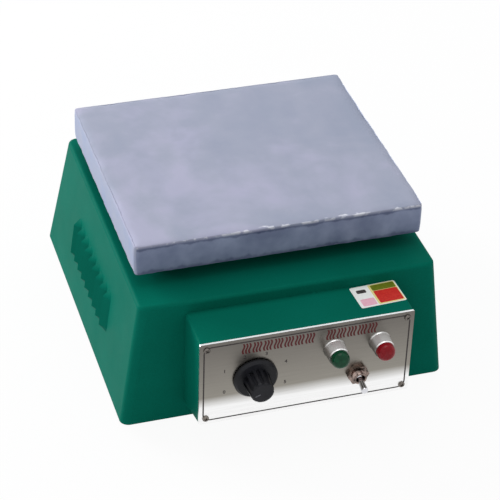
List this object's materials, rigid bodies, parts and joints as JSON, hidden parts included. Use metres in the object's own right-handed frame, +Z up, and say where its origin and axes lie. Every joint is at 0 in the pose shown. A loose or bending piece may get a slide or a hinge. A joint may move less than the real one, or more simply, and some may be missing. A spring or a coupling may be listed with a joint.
{
  "type": "laboratory hot plate",
  "caption": "Bench hot plate: a thick metal plate raised over a tapered green sheet casing with louvred sides, and a front box with heat knob, pilot lamps and toggle switch.",
  "frame": {"origin": "centre of the part's box at bench level, where the rubber feet stand", "axes": "+Z up from the bench, -Y towards the control panel, +X to the panel's right as the user sees it"},
  "size_m": [0.293, 0.366, 0.1718],
  "materials": {
    "plate": "matt silver-grey heat-resistant paint, mottled",
    "green_paint": "semi-gloss green enamel",
    "panel_steel": "polished steel faceplate",
    "bright_screw": "plated pan-head screw",
    "zinc": "bright zinc plating",
    "post_steel": "turned steel",
    "element_steel": "heat-darkened steel sheath",
    "shield_sheet": "plain mill finish",
    "ceramic": "unglazed ceramic",
    "fibre": "mineral fibre board",
    "knob_black": "moulded black phenolic",
    "black_plastic": "moulded black plastic",
    "chrome": "bright chrome plating",
    "nickel": "dull nickel plating",
    "green_lens": "moulded translucent green",
    "red_lens": "moulded translucent red",
    "galvanised": "galvanised sheet",
    "rubber": "moulded black rubber",
    "brass": "bright brass",
    "spindle_steel": "turned steel"
  },
  "bodies": {
    "hot_plate": {"top_plate": "plate", "plate_spacers": "post_steel", "plate_studs": "zinc", "stud_nuts": "zinc", "heating_element": "element_steel", "clamp_bar_left": "post_steel", "clamp_bar_right": "post_steel", "clamp_screws": "zinc", "heat_shield": "shield_sheet", "insulation_pad": "fibre", "element_bushes": "ceramic", "casing": "green_paint", "control_box": "green_paint", "control_panel": "panel_steel", "box_screws": "zinc", "panel_screws": "bright_screw", "regulator_body": "black_plastic", "regulator_nut": "zinc", "green_lamp_bezel": "chrome", "green_lamp_lens": "green_lens", "green_lamp_holder": "black_plastic", "green_lamp_nut": "zinc", "red_lamp_bezel": "chrome", "red_lamp_lens": "red_lens", "red_lamp_holder": "black_plastic", "red_lamp_nut": "zinc", "toggle_body": "black_plastic", "toggle_bush": "nickel", "toggle_washer": "nickel", "toggle_nut": "nickel", "base_plate": "galvanised", "foot_front_left": "rubber", "foot_front_right": "rubber", "foot_rear_left": "rubber", "foot_rear_right": "rubber", "foot_screws": "zinc", "foot_nuts": "zinc", "base_screws": "zinc", "terminal_block": "ceramic", "block_screws": "zinc", "terminals": "brass", "earth_stud": "brass", "earth_nut": "brass", "mains_inlet": "black_plastic", "inlet_blades": "brass", "inlet_screws": "zinc"},
    "control_knob": {"knob": "knob_black", "knob_set_screw": "zinc", "regulator_shaft": "spindle_steel"},
    "switch_lever": {"toggle_lever": "chrome"}
  },
  "joints": [
    {"name": "knob_turn", "type": "hinge", "parent": "hot_plate", "child": "control_knob", "pos_m": [-0.0433, -0.16125, 0.077], "axis": [0, 1, 0], "range_deg": [0, 270]},
    {"name": "toggle_flip", "type": "hinge", "parent": "hot_plate", "child": "switch_lever", "pos_m": [0.0472, -0.16493, 0.0625], "axis": [-1, 0, 0], "range_deg": [0, 28]}
  ]
}
